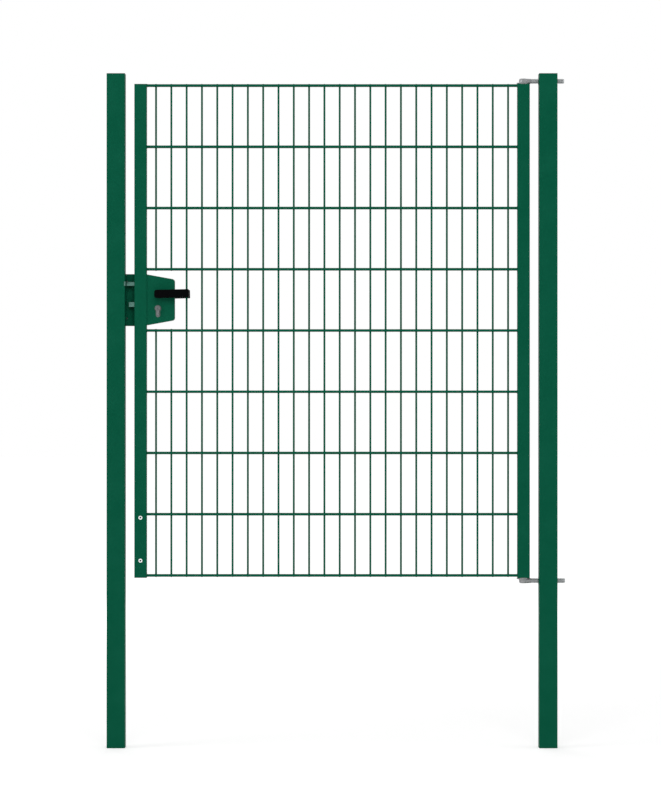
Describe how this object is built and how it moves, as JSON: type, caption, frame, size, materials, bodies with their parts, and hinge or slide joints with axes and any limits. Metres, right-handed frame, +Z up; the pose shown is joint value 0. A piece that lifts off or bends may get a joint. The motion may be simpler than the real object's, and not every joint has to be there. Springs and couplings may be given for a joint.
{
  "type": "single garden gate",
  "caption": "Single garden gate: a welded double-wire mesh leaf with square stiles, a lock with levers, eye-bolt hinges and its own posts.",
  "frame": {"origin": "middle of the hinge post's foot face, at the bottom of the length that is set in the ground", "axes": "+Z up the posts, -X along the closed leaf from the hinge post to the latch post, -Y towards the side that the leaf opens to"},
  "size_m": [1.496, 0.12, 2.2],
  "materials": {
    "green_coat": "satin green powder coat over galvanised steel",
    "green_wire": "satin green powder coat over welded wire",
    "green_cap": "matt green moulded plastic",
    "zinc": "dull zinc-plated steel",
    "bright_zinc": "bright zinc-plated steel",
    "lock_steel": "satin stainless steel",
    "lever_black": "satin black coat over cast aluminium"
  },
  "bodies": {
    "posts": {"hinge_post": "green_coat", "hinge_post_cap": "green_cap", "latch_post": "green_coat", "latch_post_cap": "green_cap", "upper_bolt_sleeve": "green_coat", "lower_bolt_sleeve": "green_coat", "upper_eye_bolt": "zinc", "lower_eye_bolt": "zinc", "keep_plate": "green_coat", "latch_strike": "lock_steel"},
    "leaf": {"hinge_stile": "green_coat", "latch_stile": "green_coat", "stile_top_cap": "green_cap", "stile_bottom_cap": "green_cap", "upper_hinge_pin": "zinc", "lower_hinge_pin": "zinc", "upper_washer": "zinc", "lower_washer": "zinc", "upper_mesh": "green_wire", "lower_mesh": "green_wire", "upper_insert": "bright_zinc", "lower_insert": "bright_zinc", "lock_case": "green_coat", "lock_cylinder": "lock_steel"},
    "handle": {"spindle": "lock_steel", "front_neck": "lever_black", "front_lever": "lever_black", "back_neck": "lever_black", "back_lever": "lever_black"},
    "latch": {"latch_bolt": "lock_steel"},
    "bolt": {"dead_bolt": "lock_steel"}
  },
  "joints": [
    {"name": "leaf_swing", "type": "hinge", "parent": "posts", "child": "leaf", "pos_m": [-0.08, 0, 1.3605], "axis": [0, 0, 1], "range_deg": [0, 120]},
    {"name": "handle_turn", "type": "hinge", "parent": "leaf", "child": "handle", "pos_m": [-1.273, 0, 1.48], "axis": [0, 1, 0], "range_deg": [0, 40], "stiffness_Nm_per_rad": 1.5, "springref_deg": -20.05},
    {"name": "latch_slide", "type": "slide", "parent": "leaf", "child": "latch", "axis": [1, 0, 0], "range_m": [0, 0.024]},
    {"name": "dead_bolt_slide", "type": "slide", "parent": "leaf", "child": "bolt", "axis": [1, 0, 0], "range_m": [0, 0.018]}
  ],
  "couplings": [
    {"joint": "latch_slide", "follows": "handle_turn", "m_per_rad": 0.0343}
  ]
}
